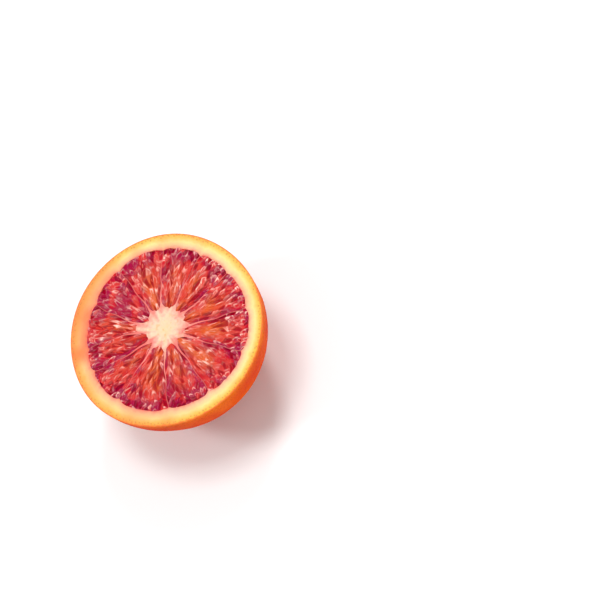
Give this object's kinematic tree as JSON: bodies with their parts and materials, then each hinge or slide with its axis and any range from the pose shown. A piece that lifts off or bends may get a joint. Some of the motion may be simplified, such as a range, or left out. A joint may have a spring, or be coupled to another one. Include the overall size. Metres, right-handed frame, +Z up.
{
  "type": "blood orange half",
  "caption": "Half of a blood orange, cut across its segments: red pulp, pale pith ring and star-shaped core in a pitted rind, lying on its round back.",
  "frame": {"origin": "middle of the small flat spot at the pole that the half rests on, on the fruit's axis", "axes": "+Z up along the fruit's axis, out of the cut face; +X and +Y in the plane of the cut"},
  "size_m": [0.075, 0.0749, 0.0403],
  "materials": {
    "rind": "waxy orange citrus rind, pitted by oil glands",
    "pith": "matt spongy white pith, yellow at the rind and pink at the pulp",
    "membrane": "thin moist pink membranes and cream core",
    "pulp": "wet juice sacs, wine red to orange",
    "scar": "dry corky blossom-end scar"
  },
  "bodies": {
    "root": {"orange_half": "rind"}
  },
  "joints": []
}
